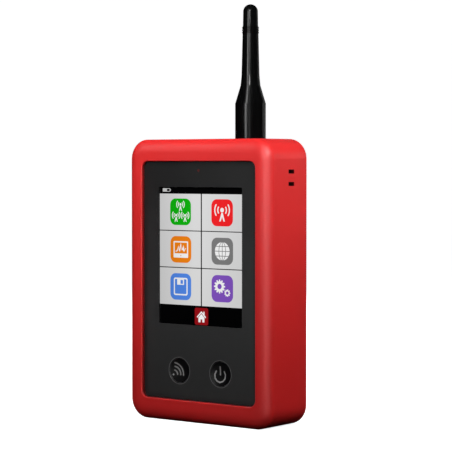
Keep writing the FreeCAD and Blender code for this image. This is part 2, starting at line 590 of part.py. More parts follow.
def jack_washer():
    ring = tube_z(THREAD_R + 0.1, 4.9, CASE_TOP, CASE_TOP + WASHER_T)
    notches = []
    for i in range(12):
        notch = box(ANTENNA_X + 4.2, ANTENNA_X + 6, ANTENNA_Y - 0.3, ANTENNA_Y + 0.3,
                    CASE_TOP - 1, CASE_TOP + 2)
        notch.rotate(Vector(ANTENNA_X, ANTENNA_Y, 0), Vector(0, 0, 1), 30 * i)
        notches.append(notch)
    return ring.cut(notches)


def jack_nut():
    z0 = CASE_TOP + WASHER_T
    return hex_z(4.6, z0, z0 + PANEL_NUT_T).cut(rod_z(THREAD_R + 0.03, z0 - 1, z0 + PANEL_NUT_T + 1))


# ---- Antenna ------------------------------------------------------------------------------
def antenna_seal_ring():
    """Soft ring on the antenna's foot, between its collar and the case."""
    ring = tube_z(6.1, 7.25, CASE_TOP + 0.1, COLLAR_Z0 - 0.05)
    rim = [e for e in ring.Edges if abs(e.BoundBox.ZLength) < 1e-3 and e.BoundBox.XLength > 14]
    return ring.makeFillet(0.25, rim)


def antenna_sleeve():
    """Moulded collar, flare and shaft, hollow for the connector and the radiator."""
    flare_r = 4.95
    body = revolve([
        (0, COLLAR_Z0), (COLLAR_R - 0.4, COLLAR_Z0), (COLLAR_R, COLLAR_Z0 + 0.4),
        (COLLAR_R, COLLAR_Z1), (flare_r, FLARE_Z),
        (SHAFT_R, SHAFT_Z, (SHAFT_R + 0.2, (FLARE_Z + SHAFT_Z) / 2 + 0.1)),
        (NECK_R, NECK_Z), (0, NECK_Z),
    ])
    return body.cut([rod_z(6.0, COLLAR_Z0 - 1, COUPLING_Z0), rod_z(4.75, COUPLING_Z0 - 1, COUPLING_Z1),
                     rod_z(2.3, COUPLING_Z1 - 1, 156.0), rod_z(ROD_R + 0.05, 155.0, 189.0),
                     rod_z(2.4, 189.0, NECK_Z + 1)])


def antenna_tip_cap():
    """Rounded cap with ribs round its foot, plugged into the sleeve."""
    outline = [(0, 189.1), (2.35, 189.1), (2.35, NECK_Z), (NECK_R, NECK_Z)]
    for i in range(RING_COUNT):
        z0 = NECK_Z + i * RING_PITCH
        rib = RING_PITCH * 0.75
        outline += [(NECK_R, z0 + 0.01),
                    (NECK_R, z0 + rib, (RING_R, z0 + rib / 2)),
                    (NECK_R, z0 + RING_PITCH)]
    foot = NECK_Z + RING_COUNT * RING_PITCH
    dome = TIP_Z - TIP_R1
    arc = math.radians(45)
    outline += [(TIP_R0, foot), (TIP_R1, dome),
                (0, TIP_Z, (TIP_R1 * math.cos(arc), dome + TIP_R1 * math.sin(arc)))]
    return revolve(outline).cut(rod_z(ROD_R + 0.05, 189.0 - 1, 203.2))


def antenna_coupling():
    """Brass coupling nut moulded into the collar. Its bore runs on the socket's thread."""
    nut = hex_z(4.7, COUPLING_Z0, COUPLING_Z1 - 0.05)
    return nut.cut([rod_z(THREAD_R + 0.05, COUPLING_Z0 - 1, JACK_TOP + 0.1),
                    rod_z(2.25, JACK_TOP, COUPLING_Z1 + 1)])


def antenna_insulator():
    return tube_z(0.5, 2.2, JACK_TOP + 0.1, 155.9)


def antenna_pin():
    """Centre pin, from inside the socket's contact up to the radiator."""
    return rod_z(0.45, JACK_TOP - 2.6, 155.9)


def antenna_radiator():
    return rod_z(ROD_R, 155.95, 203.0)


# ---- All nodes ----------------------------------------------------------------------------
NODES = {
    "protective_boot": protective_boot,
    "front_shell": front_shell,
    "rear_shell": rear_shell,
    "rating_label": rating_label,
    "battery_door": battery_door,
    "battery_pack": battery_pack,
    "battery_socket": battery_socket,
    "front_overlay": front_overlay,
    "touch_glass": touch_glass,
    "display_panel": display_panel,
    "display_frame": display_frame,
    "display_carrier": display_carrier,
    "display_flex": display_flex,
    "flex_connector": flex_connector,
    "light_pipe": light_pipe,
    "status_led": status_led,
    "main_board": main_board,
    "board_chips": board_chips,
    "radio_module": radio_module,
    "radio_shield": radio_shield,
    "coax_plug": coax_plug,
    "coax_pigtail": coax_pigtail,
    "sounder": sounder,
    "usb_socket": usb_socket,
    "case_screws": case_screws,
    "board_screws": board_screws,
    "antenna_jack": antenna_jack,
    "jack_insulator": jack_insulator,
    "jack_washer": jack_washer,
    "jack_nut": jack_nut,
    "antenna_seal_ring": antenna_seal_ring,
    "antenna_sleeve": antenna_sleeve,
    "antenna_tip_cap": antenna_tip_cap,
    "antenna_coupling": antenna_coupling,
    "antenna_insulator": antenna_insulator,
    "antenna_pin": antenna_pin,
    "antenna_radiator": antenna_radiator,
}


def main():
    os.makedirs("parts", exist_ok=True)
    made = {name: make() for name, make in NODES.items()}
    for name, x in LEADS.items():
        made[name] = battery_lead(x)
    for name, x in SWITCHES.items():
        made[f"{name}_button"] = button(x)
        made[f"{name}_switch"] = switch_body(x)
        made[f"{name}_switch_plunger"] = switch_plunger(x)
    for name, shape in made.items():
        if not shape.isValid() or not shape.Solids:
            raise SystemExit(f"{name} is not a valid solid")
        shape.exportStep(f"parts/{name}.step")
        print(f"{name:24s} solids {len(shape.Solids)}  volume {shape.Volume:9.1f} mm3")


main()
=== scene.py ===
"""Looks of the hand-held spectrum analyzer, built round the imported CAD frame.

Blender's metres, in the CAD's own frame: X to the right as the user sees the screen, Y away from
the user, Z up. Sizes named in millimetres are multiplied by MM where they meet Blender.
"""

import math

import bmesh
import bpy
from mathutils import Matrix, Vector
from mathutils.geometry import tessellate_polygon


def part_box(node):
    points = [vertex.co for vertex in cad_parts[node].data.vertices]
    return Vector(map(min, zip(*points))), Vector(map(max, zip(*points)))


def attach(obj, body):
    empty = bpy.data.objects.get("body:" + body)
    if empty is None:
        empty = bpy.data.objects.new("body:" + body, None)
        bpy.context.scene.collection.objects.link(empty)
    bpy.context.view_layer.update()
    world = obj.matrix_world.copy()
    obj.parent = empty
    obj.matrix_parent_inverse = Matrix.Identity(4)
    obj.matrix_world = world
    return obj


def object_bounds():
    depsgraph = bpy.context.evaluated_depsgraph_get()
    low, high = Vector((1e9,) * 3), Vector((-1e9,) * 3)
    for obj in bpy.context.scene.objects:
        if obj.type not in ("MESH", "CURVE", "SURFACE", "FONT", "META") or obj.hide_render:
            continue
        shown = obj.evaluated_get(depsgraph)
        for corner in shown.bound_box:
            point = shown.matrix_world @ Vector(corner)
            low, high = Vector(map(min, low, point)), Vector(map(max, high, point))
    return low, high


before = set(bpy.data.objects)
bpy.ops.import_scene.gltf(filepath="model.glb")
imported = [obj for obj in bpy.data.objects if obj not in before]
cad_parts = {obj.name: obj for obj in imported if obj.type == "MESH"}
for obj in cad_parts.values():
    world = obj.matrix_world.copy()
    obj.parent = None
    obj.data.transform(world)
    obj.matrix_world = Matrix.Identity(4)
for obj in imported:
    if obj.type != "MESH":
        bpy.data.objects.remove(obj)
cad_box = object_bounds()

MM = 0.001
BODY_CASE = "case"
MIX_A, MIX_B, MIX_RESULT = 6, 7, 2                # the colour sockets of a Mix node

# ---- Camera and studio --------------------------------------------------------------------
CAMERA_AT = (0.55304, -0.71815, 0.128566)
CAMERA_AZIMUTH, CAMERA_DOWN = 37.337, 1.909      # degrees
LENS, SENSOR = 143.32, 36.0                      # millimetres

# Softboxes: azimuth from the front towards the right and elevation in degrees, distance, width,
# height and the height that they point at in metres, spread of the grid in degrees, watts.
# The fill lights only colour what they fall on, the strips only make highlights.
FILLS = {
    "right": (45, 30, 0.45, 0.16, 0.16, 0.19, 50, 0.25),
    "right_wide": (60, 30, 0.60, 0.50, 0.50, 0.08, 180, 0.50),
    "back_wide": (120, 60, 0.60, 0.50, 0.50, 0.08, 180, 0.75),
    "left": (-45, 24, 0.45, 0.16, 0.16, 0.12, 60, 0.16),
    "side": (90, 20, 0.45, 0.16, 0.16, 0.12, 60, 0.09),
    "rear": (196, 25, 0.80, 0.50, 0.50, 0.08, 180, 3.2),
    "rear_left": (232, 20, 0.80, 0.40, 0.40, 0.08, 180, 1.6),
}
STRIPS = {
    "front": (2, 4, 0.50, 0.08, 0.14, 0.19, 60, 0.10),
    "corner": (26, 16, 0.50, 0.08, 0.14, 0.20, 60, 0.22),
    "front_low": (8, 0, 0.50, 0.06, 0.20, 0.06, 60, 0.035),
    "corner_low": (30, 0, 0.50, 0.06, 0.20, 0.06, 60, 0.02),
    "rim_right": (146, 5, 0.60, 0.06, 0.20, 0.20, 60, 0.015),
    "flare": (5, 34, 0.50, 0.10, 0.10, 0.17, 20, 0.01),
    "rim": (172, 5, 0.60, 0.10, 0.30, 0.17, 90, 0.03),
}
SWEEP_R, SWEEP_COVE, SWEEP_H = 3.0, 0.5, 2.4
GLOW_NEAR, GLOW_FAR = 0.88, 1.02                  # the floor's own light, under the object (dimmed there as painted shadow) and far from it

# ---- Screen contents, millimetres from the screen's centre ---------------------------------
LAYER = 0.03                                      # thickness of each printed or lit layer
TILE_X = ((-26.1, 0.2), (0.93, 25.9))
TILE_Z = ((12.83, 31.12), (-5.72, 12.38), (-24.68, -6.18))
ICON_HALF, ICON_R = 6.67, 3.3
HOME_AT, HOME_HALF, HOME_R = (0.6, -29.95), 4.25, 1.0
BATTERY_X, BATTERY_Z, BATTERY_LINE = (-24.2, -19.0), (32.1, 33.8), 0.28
FADE_LEFT, FADE_RIGHT, FADE_BOTTOM = 0.76, 0.88, 0.92   # painted shade: strength of the display's light at the edges
PIXEL_GRID = 0.04                                 # the share of light that the pixel grid cuts

# ---- Button faces, millimetres --------------------------------------------------------------
DISH_R, DISH_DEPTH = 5.7, 0.9
GLYPH_STROKE = 0.7
GLYPH_LIFT = 0.04                                 # how far a symbol stands out of the dish, and goes in
# radius and width of the painted highlight ring round each button
RING_R, RING_W = 6.72, 0.32


# ---- Flat shapes: loops of (x, z) corners ---------------------------------------------------
def arc(x, z, r, start, end, steps=24):
    """Points on a circle, from start to end in degrees."""
    turn = [math.radians(start + (end - start) * i / steps) for i in range(steps + 1)]
    return [(x + r * math.cos(t), z + r * math.sin(t)) for t in turn]


def disc(x, z, r, steps=32):
    return arc(x, z, r, 0, 360, steps)[:-1]


def sector(x, z, r, width, start, end):
    """A piece of a ring whose middle line has radius r."""
    outer = arc(x, z, r + width / 2, start, end)
    return outer + arc(x, z, r - width / 2, start, end)[::-1]


def rectangle(x0, x1, z0, z1):
    return [(x0, z0), (x1, z0), (x1, z1), (x0, z1)]


def rounded(x, z, half_w, half_h, r):
    corners = [(1, -1, -90), (1, 1, 0), (-1, 1, 90), (-1, -1, 180)]
    loop = []
    for sx, sz, start in corners:
        loop += arc(x + sx * (half_w - r), z + sz * (half_h - r), r, start, start + 90, 8)
    return loop


def polyline(points, width):
    """The outline of a line of that width through the points, with square ends."""
    left, right = [], []
    for i, (x, z) in enumerate(points):
        before, after = points[max(i - 1, 0)], points[min(i + 1, len(points) - 1)]
        along = Vector((after[0] - before[0], after[1] - before[1])).normalized()
        step = Vector((x - before[0], z - before[1])) if i else along
        stretch = 1 / max(0.45, abs(along.dot(step.normalized()))) if step.length else 1
        side = Vector((-along.y, along.x)) * width / 2 * stretch
        left.append((x + side.x, z + side.y))
        right.append((x - side.x, z - side.y))
    return left + right[::-1]


def placed(shapes, x, z, scale):
    """The shapes scaled about the origin, then moved to (x, z)."""
    return [[[(x + scale * u, z + scale * v) for u, v in loop] for loop in shape] for shape in shapes]


# ---- Meshes ---------------------------------------------------------------------------------
def link(name, mesh, body, material):
    """Makes an object of the mesh, which rides on that CAD body."""
    obj = bpy.data.objects.new(name, mesh)
    bpy.context.scene.collection.objects.link(obj)
    mesh.materials.append(material)
    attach(obj, body)


def finish_mesh(name, bm):
    bmesh.ops.remove_doubles(bm, verts=bm.verts, dist=1e-7)
    bmesh.ops.recalc_face_normals(bm, faces=bm.faces)
    mesh = bpy.data.meshes.new(name)
    bm.to_mesh(mesh)
    bm.free()
    return mesh


def plate(name, shapes, back_y, thickness, material):
    """Flat closed solids on the case, one for each shape (an outer loop, then its holes), whose
    backs lie on the plane back_y. Everything is in millimetres."""
    bm = bmesh.new()
    for loops in shapes:
        triangles = tessellate_polygon([[Vector((x, z, 0)) for x, z in loop] for loop in loops])
        levels = []
        for y in (back_y, back_y - thickness):
            points = [(x * MM, y * MM, z * MM) for loop in loops for x, z in loop]
            levels.append([bm.verts.new(point) for point in points])
        for level in levels:
            for triangle in triangles:
                bm.faces.new([level[i] for i in triangle])
        first = 0
        for loop in loops:
            ring = list(range(first, first + len(loop)))
            for i, j in zip(ring, ring[1:] + ring[:1]):
                bm.faces.new((levels[0][i], levels[0][j], levels[1][j], levels[1][i]))
            first += len(loop)
    link(name, finish_mesh(name, bm), BODY_CASE, material)


# ---- Materials --------------------------------------------------------------------------------
class Surface:
    """A Principled material whose colour, roughness and relief vary in the object's own space."""

    def __init__(self, name, colour, roughness, **sockets):
        self.material = bpy.data.materials.new(name)
        self.material.use_nodes = True
        self.tree = self.material.node_tree
        self.shader = self.tree.nodes["Principled BSDF"]
        self.shader.inputs["Base Color"].default_value = (*colour, 1)
        self.shader.inputs["Roughness"].default_value = roughness
        self.colour, self.roughness = colour, roughness
        for socket, value in sockets.items():
            self.shader.inputs[socket.replace("_", " ")].default_value = value
        self.space = self.add("ShaderNodeTexCoord").outputs["Object"]
        self.relief = None

    def add(self, kind, **settings):
        node = self.tree.nodes.new(kind)
        for key, value in settings.items():
            setattr(node, key, value)
        return node

    def wire(self, output, target):
        self.tree.links.new(output, target)

    def stretched(self, x, y, z):
        """Object space scaled by (x, y, z)."""
        mapping = self.add("ShaderNodeMapping")
        mapping.inputs["Scale"].default_value = (x, y, z)
        self.wire(self.space, mapping.inputs["Vector"])
        return mapping.outputs["Vector"]

    def noise(self, scale, detail=3.0, space=None):
        """Cloudy noise with that many features a metre."""
        node = self.add("ShaderNodeTexNoise")
        node.inputs["Scale"].default_value = scale
        node.inputs["Detail"].default_value = detail
        self.wire(space or self.space, node.inputs["Vector"])
        return node.outputs["Fac"]

    def cells(self, scale):
        node = self.add("ShaderNodeTexVoronoi")
        node.inputs["Scale"].default_value = scale
        self.wire(self.space, node.inputs["Vector"])
        return node.outputs["Distance"]

    def bands(self, scale, direction, shape="BANDS", profile="SIN"):
        node = self.add("ShaderNodeTexWave", wave_type=shape, wave_profile=profile)
        if shape == "BANDS":
            node.bands_direction = direction
        else:
            node.rings_direction = direction
        node.inputs["Scale"].default_value = scale
        self.wire(self.space, node.inputs["Vector"])
        return node.outputs["Fac"]

    def ramp(self, value, low, high, start=0.3, end=0.7):
        """The colour low up to start, high from end on, and a blend between them."""
        node = self.add("ShaderNodeValToRGB")
        for stop, place, colour in zip(node.color_ramp.elements, (start, end), (low, high)):
            stop.position, stop.color = place, (*colour, 1)
        self.wire(value, node.inputs["Fac"])
        return node.outputs["Color"]

    def spread(self, value, low, high, start=0.25, end=0.75):
        """The number low up to start, high from end on, and a blend between them."""
        node = self.add("ShaderNodeMapRange")
        for socket, number in zip(("From Min", "From Max", "To Min", "To Max"),
                                  (start, end, low, high)):
            node.inputs[socket].default_value = number
        self.wire(value, node.inputs["Value"])
        return node.outputs["Result"]

    def paint(self, output):
        self.wire(output, self.shader.inputs["Base Color"])
        return self

    def mottle(self, scale, amount):
        """The base colour, lighter and darker by that share in soft patches."""
        low = [c * (1 - amount) for c in self.colour]
        high = [min(1, c * (1 + amount)) for c in self.colour]
        return self.paint(self.ramp(self.noise(scale), low, high))

    def worn(self, scale, amount):
        """The roughness, up and down by that amount in soft patches."""
        low, high = max(0.02, self.roughness - amount), self.roughness + amount
        self.wire(self.spread(self.noise(scale), low, high), self.shader.inputs["Roughness"])
        return self

    def painted_hollow_shade(self, reach, amount):
        """Painted shade: darkens the base colour by up to that share in corners and hollows, within
        reach in millimetres."""
        near = self.add("ShaderNodeAmbientOcclusion", samples=8)
        near.inputs["Distance"].default_value = reach * MM
        shade = self.add("ShaderNodeMix", data_type="RGBA", blend_type="MULTIPLY")
        shade.inputs["Factor"].default_value = 1
        base = self.shader.inputs["Base Color"].links[0].from_socket
        tint = self.ramp(near.outputs["AO"], (1 - amount,) * 3, (1, 1, 1), 0.45, 1)
        self.wire(base, shade.inputs[MIX_A])
        self.wire(tint, shade.inputs[MIX_B])
        return self.paint(shade.outputs[MIX_RESULT])

    def bump(self, height, depth):
        """Adds relief of that depth in millimetres."""
        node = self.add("ShaderNodeBump")
        node.inputs["Distance"].default_value = depth * MM
        self.wire(height, node.inputs["Height"])
        if self.relief:
            self.wire(self.relief, node.inputs["Normal"])
        self.relief = node.outputs["Normal"]
        self.wire(self.relief, self.shader.inputs["Normal"])
        return self


def plastic(name, colour, roughness, grain=2500, depth=0.006, mottle=0.06, **sockets):
    """Moulded plastic or rubber with a fine even grain."""
    s = Surface(name, colour, roughness, **sockets).mottle(60, mottle).worn(120, 0.04)
    return s.bump(s.noise(grain, 2), depth)


def metal(name, colour, roughness, lay=(60, 4000, 4000)):
    """Metal with the fine parallel marks of rolling or turning."""
    s = Surface(name, colour, roughness, Metallic=1.0).mottle(90, 0.08)
    marks = s.noise(1, 2, s.stretched(*lay))
    s.wire(s.spread(marks, roughness * 0.75, roughness * 1.35), s.shader.inputs["Roughness"])
    return s.bump(marks, 0.002)


def boot_silicone():
    s = Surface("boot_silicone", (0.62, 0.020, 0.020), 0.38, Specular_IOR_Level=0.42)
    # painted shade: the red is darkened in the boot's corners and hollows
    s.mottle(25, 0.03).worn(70, 0.04).painted_hollow_shade(5, 0.95)
    s.bump(s.noise(2600, 2), 0.006)
    return s.bump(s.noise(260, 2), 0.010)


def case_plastic():
    s = plastic("case_plastic", (0.016, 0.016, 0.017), 0.5)
    return s.bump(s.cells(3200), 0.010)


def overlay_film():
    """Dark film, painted lighter towards the buttons at the bottom and darker at the top: painted
    reflection and shade.
    """
    s = plastic("overlay_film", (0.008, 0.008, 0.0083), 0.5, grain=1800, depth=0.004, mottle=0.05)
    place = s.add("ShaderNodeSeparateXYZ")
    s.wire(s.space, place.inputs["Vector"])
    # painted reflection and shade: lighter low down, darker towards the top, and darker in corners and
    # hollows
    s.paint(s.ramp(s.spread(place.outputs["Z"], 0, 1, 0.060, 0.118), (0.020, 0.020, 0.0205),
                   (0.004, 0.004, 0.0042), 0, 1)).painted_hollow_shade(3, 0.8)
    return s.bump(s.cells(2600), 0.004)


def screen_glass():
    s = Surface("screen_glass", (0.0012, 0.0012, 0.0014), 0.12, Coat_Weight=0.4, Coat_Roughness=0.05)
    return s.mottle(30, 0.2).worn(45, 0.04).bump(s.noise(30, 1), 0.002)


def button_plastic():
    return plastic("button_plastic", (0.0035, 0.0035, 0.0038), 0.3, depth=0.002)


def antenna_plastic():
    s = plastic("antenna_plastic", (0.0016, 0.0016, 0.0017), 0.20, grain=2200, depth=0.002,
                Specular_IOR_Level=0.16)
    return s.bump(s.noise(1, 2, s.stretched(900, 900, 60)), 0.003)


def display_cell():
    s = Surface("display_cell", (0.05, 0.05, 0.07), 0.2, Coat_Weight=0.5)
    return s.paint(s.ramp(s.bands(1500, "X"), (0.03, 0.03, 0.05), (0.07, 0.07, 0.09))).worn(40, 0.05)


def sheet_metal():
    return metal("sheet_metal", (0.62, 0.63, 0.64), 0.32)


def carrier_plastic():
    return plastic("carrier_plastic", (0.55, 0.55, 0.53), 0.5, depth=0.01)


def flex_film():
    s = Surface("flex_film", (0.45, 0.16, 0.03), 0.3, Coat_Weight=0.3)
    tracks = s.bands(300, "X", profile="TRI")
    s.paint(s.ramp(tracks, (0.30, 0.09, 0.02), (0.62, 0.26, 0.05), 0.4, 0.6))
    return s.worn(90, 0.05).bump(tracks, 0.02)


def connector_plastic():
    return plastic("connector_plastic", (0.62, 0.56, 0.42), 0.45, depth=0.01)


def board_like(name, mask, trace):
    """Solder mask over copper: a maze of traces shows through as a lighter, raised tone."""
    s = Surface(name, mask, 0.32, Coat_Weight=0.25, Coat_Roughness=0.2)
    brick = s.add("ShaderNodeTexBrick", offset=0.5, squash=0.7, squash_frequency=3)
    brick.inputs["Color1"].default_value = (*mask, 1)
    brick.inputs["Color2"].default_value = (*[c * 0.86 for c in mask], 1)
    brick.inputs["Mortar"].default_value = (*trace, 1)
    brick.inputs["Scale"].default_value = 130
    brick.inputs["Mortar Size"].default_value = 0.05
    swap = s.add("ShaderNodeMapping")
    swap.inputs["Rotation"].default_value = (math.radians(90), 0, 0)
    s.wire(s.space, swap.inputs["Vector"])
    s.wire(swap.outputs["Vector"], brick.inputs["Vector"])
    s.paint(brick.outputs["Color"]).worn(150, 0.06)
    return s.bump(brick.outputs["Fac"], 0.03)


def board_laminate():
    return board_like("board_laminate", (0.010, 0.12, 0.035), (0.03, 0.22, 0.07))


def module_laminate():
    return board_like("module_laminate", (0.012, 0.035, 0.13), (0.03, 0.08, 0.24))


def chip_epoxy():
    return plastic("chip_epoxy", (0.012, 0.012, 0.013), 0.6, grain=4000, depth=0.008)


def tinned_steel():
    s = metal("tinned_steel", (0.72, 0.72, 0.70), 0.3)
    return s.bump(s.noise(300, 2), 0.01)


def steel():
    return metal("steel", (0.58, 0.58, 0.58), 0.28, lay=(900, 900, 60))


def black_steel():
    return metal("black_steel", (0.035, 0.035, 0.037), 0.35, lay=(900, 900, 60))


def gold_brass():
    return metal("gold_brass", (0.83, 0.60, 0.22), 0.24, lay=(200, 200, 6000))


def copper():
    return metal("copper", (0.80, 0.36, 0.22), 0.3, lay=(4000, 4000, 60))


def dielectric():
    return plastic("dielectric", (0.80, 0.79, 0.76), 0.42, depth=0.004, mottle=0.03)


def cable_jacket():
    s = plastic("cable_jacket", (0.20, 0.07, 0.03), 0.4)
    return s.bump(s.bands(500, "DIAGONAL"), 0.01)


def lead_red():
    return plastic("lead_red", (0.50, 0.012, 0.012), 0.42)


def lead_black():
    return plastic("lead_black", (0.012, 0.012, 0.013), 0.42)


def switch_plastic():
    return plastic("switch_plastic", (0.02, 0.02, 0.021), 0.5, depth=0.01)


def plunger_plastic():
    return plastic("plunger_plastic", (0.65, 0.64, 0.60), 0.4)


def light_pipe():
    return plastic("light_pipe", (0.10, 0.008, 0.008), 0.3, depth=0.002)


def led_epoxy():
    return plastic("led_epoxy", (0.35, 0.03, 0.03), 0.25, Emission_Color=(1, 0.05, 0.03, 1),
                   Emission_Strength=0.05)


def sounder_plastic():
    s = plastic("sounder_plastic", (0.015, 0.015, 0.016), 0.5)
    return s.bump(s.bands(500, "Y", shape="RINGS"), 0.01)


def battery_wrap():
    s = Surface("battery_wrap", (0.10, 0.19, 0.42), 0.3, Coat_Weight=0.4, Coat_Roughness=0.15)
    s.paint(s.ramp(s.noise(8, 1, s.stretched(1, 1, 0.2)), (0.07, 0.15, 0.36), (0.12, 0.22, 0.46)))
    s.worn(50, 0.06)
    return s.bump(s.noise(1, 3, s.stretched(60, 60, 400)), 0.03)


def label_film():
    s = Surface("label_film", (0.55, 0.55, 0.56), 0.35).mottle(50, 0.03).worn(80, 0.05)
    return s.bump(s.noise(1800, 2), 0.003)


def seal_rubber():
    return plastic("seal_rubber", (0.008, 0.008, 0.008), 0.6, depth=0.01)


def lit(name, colour):
    """A lit part of the display: its own light, faintly cut by the pixel grid, behind gloss. Its
    light is painted weaker towards the sides and downwards, as painted shade."""
    s = Surface(name, (0.002, 0.002, 0.002), 0.3)
    dim = [c * (1 - PIXEL_GRID) for c in colour]
    s.wire(s.ramp(s.bands(1100, "X"), dim, colour, 0.2, 0.8), s.shader.inputs["Emission Color"])
    low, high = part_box("touch_glass")
    place = s.add("ShaderNodeSeparateXYZ")
    s.wire(s.space, place.inputs["Vector"])
    middle = (low.x + high.x) / 2
    # painted shade: the light weakens towards the left, the right and the bottom
    fades = [s.spread(place.outputs["X"], FADE_LEFT, 1, low.x, middle - 4 * MM),
             s.spread(place.outputs["X"], 1, FADE_RIGHT, middle, high.x),
             s.spread(place.outputs["Z"], FADE_BOTTOM, 1, low.z, high.z)]
    strength = fades[0]
    for fade in fades[1:]:
        product = s.add("ShaderNodeMath", operation="MULTIPLY")
        s.wire(strength, product.inputs[0])
        s.wire(fade, product.inputs[1])
        strength = product.outputs["Value"]
    s.wire(strength, s.shader.inputs["Emission Strength"])
    return s.worn(45, 0.03)


def ink(name, colour):
    return plastic(name, colour, 0.45, depth=0.002, mottle=0.04)


def studio_white():
    """White that glows a little less close to the object: a faint painted shadow round it."""
    s = Surface("studio_white", (0.8, 0.8, 0.8), 0.8).mottle(3, 0.01)
    length = s.add("ShaderNodeVectorMath", operation="LENGTH")
    s.wire(s.space, length.inputs[0])
    # painted shadow: the glow is dimmer near the object
    s.wire(s.spread(length.outputs["Value"], GLOW_NEAR, GLOW_FAR, 0.1, 0.6),
           s.shader.inputs["Emission Strength"])
    s.shader.inputs["Emission Color"].default_value = (1, 1, 1, 1)
    return s


FINISHES = [boot_silicone, case_plastic, overlay_film, screen_glass, display_cell, sheet_metal,
            carrier_plastic, flex_film, connector_plastic, board_laminate, chip_epoxy,
            module_laminate, tinned_steel, steel, black_steel, gold_brass, dielectric, cable_jacket,
            lead_red, lead_black, button_plastic, switch_plastic, plunger_plastic, light_pipe,
            led_epoxy, sounder_plastic, battery_wrap, label_film, antenna_plastic, seal_rubber,
            copper]


def dress_cad_nodes():
    """Gives every CAD node the procedural finish of its material slot."""
    made = {finish.__name__: finish().material for finish in FINISHES}
    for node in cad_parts.values():
        for holder in node.material_slots:
            holder.material = made[holder.material.name.split(".")[0]]


# ---- Screen -------------------------------------------------------------------------------------
def tower(head=0.17, line=0.1, rings=(0.40, 0.68), reach=38):
    """A radio mast with two waves on each side, about its head."""
    legs = [(0.06, -0.20), (0.26, -0.84), (0.13, -0.84), (0.0, -0.50),
            (-0.13, -0.84), (-0.26, -0.84), (-0.06, -0.20)]
    shapes = [[disc(0, 0, head)], [legs]]
    for r in rings:
        for side in (0, 180):
            shapes.append([sector(0, 0, r, line, side - reach, side + reach)])
    return shapes


def three_towers():
    glyph = []
    for x, z in ((0.0, 0.56), (-0.42, -0.26), (0.44, -0.26)):
        glyph += placed(tower(head=0.16, line=0.12, rings=(0.36, 0.64), reach=44), x, z, 0.58)
    return glyph


def one_tower():
    return placed(tower(), 0, 0.20, 1)


def tablet():
    frame_loop = rounded(0, 0, 0.70, 0.62, 0.06)
    opening = rectangle(-0.60, 0.60, -0.30, 0.52)
    mark = disc(0.0, -0.46, 0.05, 12)
    wave = [(-0.50, -0.16), (-0.34, -0.10), (-0.22, 0.22), (-0.14, -0.12), (0.02, 0.42),
            (0.12, -0.04), (0.22, 0.26), (0.34, -0.14), (0.46, 0.10)]
    return [[frame_loop, opening, mark], [polyline(wave, 0.075)]]


def globe():
    """A disc cut by a meridian, two curved meridians and three parallels."""
    r, line = 0.68, 0.055
    bounds_z = (-r, -0.36, 0.0, 0.36, r)
    bounds_u = (-1.0, -0.46, 0.0, 0.46, 1.0)
    patches = []
    for z0, z1 in zip(bounds_z, bounds_z[1:]):
        low, high = z0 + line / 2, z1 - line / 2
        low, high = max(low, -r * 0.985), min(high, r * 0.985)
        rows = [low + (high - low) * i / 8 for i in range(9)]
        for u0, u1 in zip(bounds_u, bounds_u[1:]):
            left = [(u0 * math.sqrt(r * r - z * z) + (line / 2 if u0 > -1 else 0), z) for z in rows]
            right = [(u1 * math.sqrt(r * r - z * z) - (line / 2 if u1 < 1 else 0), z) for z in rows]
            kept = [(a, b) for a, b in zip(left, right) if b[0] - a[0] > 0.02]
            if len(kept) > 1:
                patches.append([[b for a, b in kept] + [a for a, b in kept][::-1]])
    return patches


def floppy():
    outline = rounded(0, 0.01, 0.66, 0.66, 0.14)
    inside = rounded(0, 0.01, 0.56, 0.56, 0.08)
    shutter = rectangle(-0.34, 0.32, 0.14, 0.56)
    slot = rectangle(-0.02, 0.22, 0.21, 0.50)
    return [[outline, inside], [shutter, slot]]


def gear(x, z, r, teeth, depth, hole):
    loop = []
    pitch = 360 / teeth
    for i in range(teeth):
        for share, reach in ((-0.30, r - depth), (-0.20, r), (0.20, r), (0.30, r - depth)):
            t = math.radians((i + share) * pitch)
            loop.append((x + reach * math.cos(t), z + reach * math.sin(t)))
    return [loop, disc(x, z, hole)]


def gears():
    return [gear(-0.25, 0.16, 0.52, 12, 0.12, 0.20), gear(0.47, -0.30, 0.28, 9, 0.06, 0.12)]


def house():
    roof = [(-0.70, -0.06), (0.0, 0.62), (0.30, 0.33), (0.30, 0.58), (0.46, 0.58),
            (0.46, 0.17), (0.70, -0.06), (0.60, -0.17), (0.0, 0.42), (-0.60, -0.17)]
    walls = [(-0.44, -0.12), (0.0, 0.30), (0.44, -0.12), (0.44, -0.68), (0.14, -0.68),
             (0.14, -0.34), (-0.14, -0.34), (-0.14, -0.68), (-0.44, -0.68)]
    return [[roof], [walls]]


ICONS = {
    "masts": ((-12.7, 22.05), (0.0, 0.43, 0.0), three_towers),
    "mast": ((13.6, 21.95), (0.90, 0.013, 0.017), one_tower),
    "monitor": ((-12.5, 3.15), (0.86, 0.22, 0.003), tablet),
    "globe": ((13.7, 2.95), (0.20, 0.20, 0.20), globe),
    "floppy": ((-12.6, -15.55), (0.08, 0.24, 0.78), floppy),
    "gears": ((13.7, -15.55), (0.21, 0.08, 0.50), gears),
}


